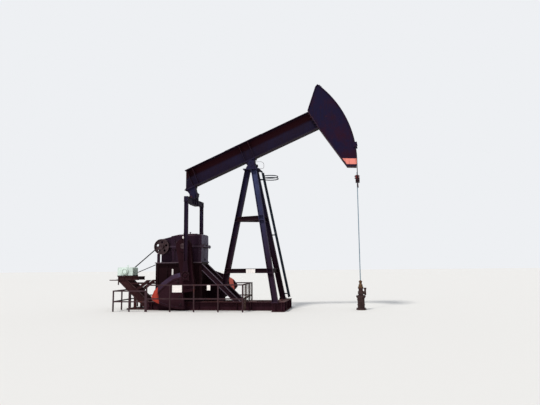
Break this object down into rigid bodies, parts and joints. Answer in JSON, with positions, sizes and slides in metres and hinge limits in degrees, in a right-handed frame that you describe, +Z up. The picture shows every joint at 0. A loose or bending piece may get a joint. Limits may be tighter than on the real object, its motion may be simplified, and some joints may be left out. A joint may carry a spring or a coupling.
{
  "type": "beam pumping unit",
  "caption": "Walking-beam pumping unit with cranks, counterweights, gearbox and motor on a skid, its horse head lifting a polished rod through a wellhead.",
  "frame": {"origin": "on the ground under the centre bearing of the walking beam, on the underside of a skid cross beam", "axes": "+X to the well, +Y to the far side, +Z up"},
  "size_m": [11.296, 2.956, 9.7951],
  "materials": {
    "skid_paint": "faded dark paint with rust",
    "pedestal_paint": "faded dark paint",
    "gearbox_paint": "faded dark paint with oil and dust",
    "bare_steel": "worn",
    "dark_iron": "oily",
    "belt_rubber": "matte",
    "motor_paint": "pale grey-green paint, dusty",
    "stand_paint": "black paint",
    "post_paint": "faded dark paint with rust",
    "fence_steel": "weathered",
    "sign_white": "plain",
    "wellhead_iron": "oily",
    "wellhead_rust": "rusty",
    "crank_paint": "faded dark paint, orange tip",
    "beam_paint": "faded purple-black paint",
    "bearing_paint": "faded dark paint with rust",
    "wire_rope": "greased",
    "carrier_paint": "dark",
    "clamp_paint": "faded red paint",
    "rod_steel": "polished, oily"
  },
  "bodies": {
    "base": {"near_skid_beam": "skid_paint", "far_skid_beam": "skid_paint", "skid_cross_beams": "skid_paint", "front_skid_beams": "skid_paint", "pedestal": "pedestal_paint", "near_strut": "pedestal_paint", "far_strut": "pedestal_paint", "gearbox_case": "gearbox_paint", "gearbox_cover": "gearbox_paint", "brake_drum": "bare_steel", "large_sheave": "dark_iron", "drive_belts": "belt_rubber", "motor": "motor_paint", "motor_sheave": "dark_iron", "motor_stand": "stand_paint", "near_front_leg": "post_paint", "far_front_leg": "post_paint", "rear_leg": "post_paint", "upper_brace": "post_paint", "lower_brace": "post_paint", "post_cap": "post_paint", "ladder": "stand_paint", "ladder_hoop": "stand_paint", "near_fence": "fence_steel", "far_fence": "fence_steel", "front_fence": "fence_steel", "rear_fence": "fence_steel", "fence_signs": "sign_white", "brace_sign": "sign_white", "casing_head": "wellhead_iron", "pumping_tee": "wellhead_iron", "wellhead_valve": "wellhead_rust", "stuffing_box": "wellhead_rust"},
    "crank": {"crankshaft": "dark_iron", "near_crank": "crank_paint", "far_crank": "crank_paint", "near_weight": "crank_paint", "far_weight": "crank_paint"},
    "beam": {"walking_beam": "beam_paint", "horse_head": "beam_paint", "beam_saddle": "bearing_paint", "tail_bearing": "bearing_paint", "bridle_wrap": "wire_rope"},
    "pitmans": {"equalizer": "bearing_paint", "near_pitman": "bearing_paint", "far_pitman": "bearing_paint", "near_wrist_bearing": "dark_iron", "far_wrist_bearing": "dark_iron"},
    "rod": {"carrier_bar": "carrier_paint", "rod_clamp": "clamp_paint", "polished_rod": "rod_steel", "bridle_drop": "wire_rope"}
  },
  "joints": [
    {"name": "crank_turn", "type": "hinge", "parent": "base", "child": "crank", "pos_m": [-2.86, 0, 2.73], "axis": [0, -1, 0], "range_deg": [0, 170.3]},
    {"name": "beam_rock", "type": "hinge", "parent": "base", "child": "beam", "pos_m": [0, 0, 6.32], "axis": [0, 1, 0], "range_deg": [0, 49.5]},
    {"name": "pitman_swing", "type": "hinge", "parent": "beam", "child": "pitmans", "pos_m": [-2.69194, 0, 5.04177], "axis": [0, 1, 0], "range_deg": [-47.7, 0]},
    {"name": "rod_slide", "type": "slide", "parent": "base", "child": "rod", "axis": [0, 0, -1], "range_m": [0, 3.95]}
  ],
  "couplings": [
    {"joint": "beam_rock", "follows": "crank_turn", "ratio": 0.2894},
    {"joint": "pitman_swing", "follows": "crank_turn", "ratio": -0.27933},
    {"joint": "rod_slide", "follows": "crank_turn", "m_per_rad": 1.3226}
  ]
}
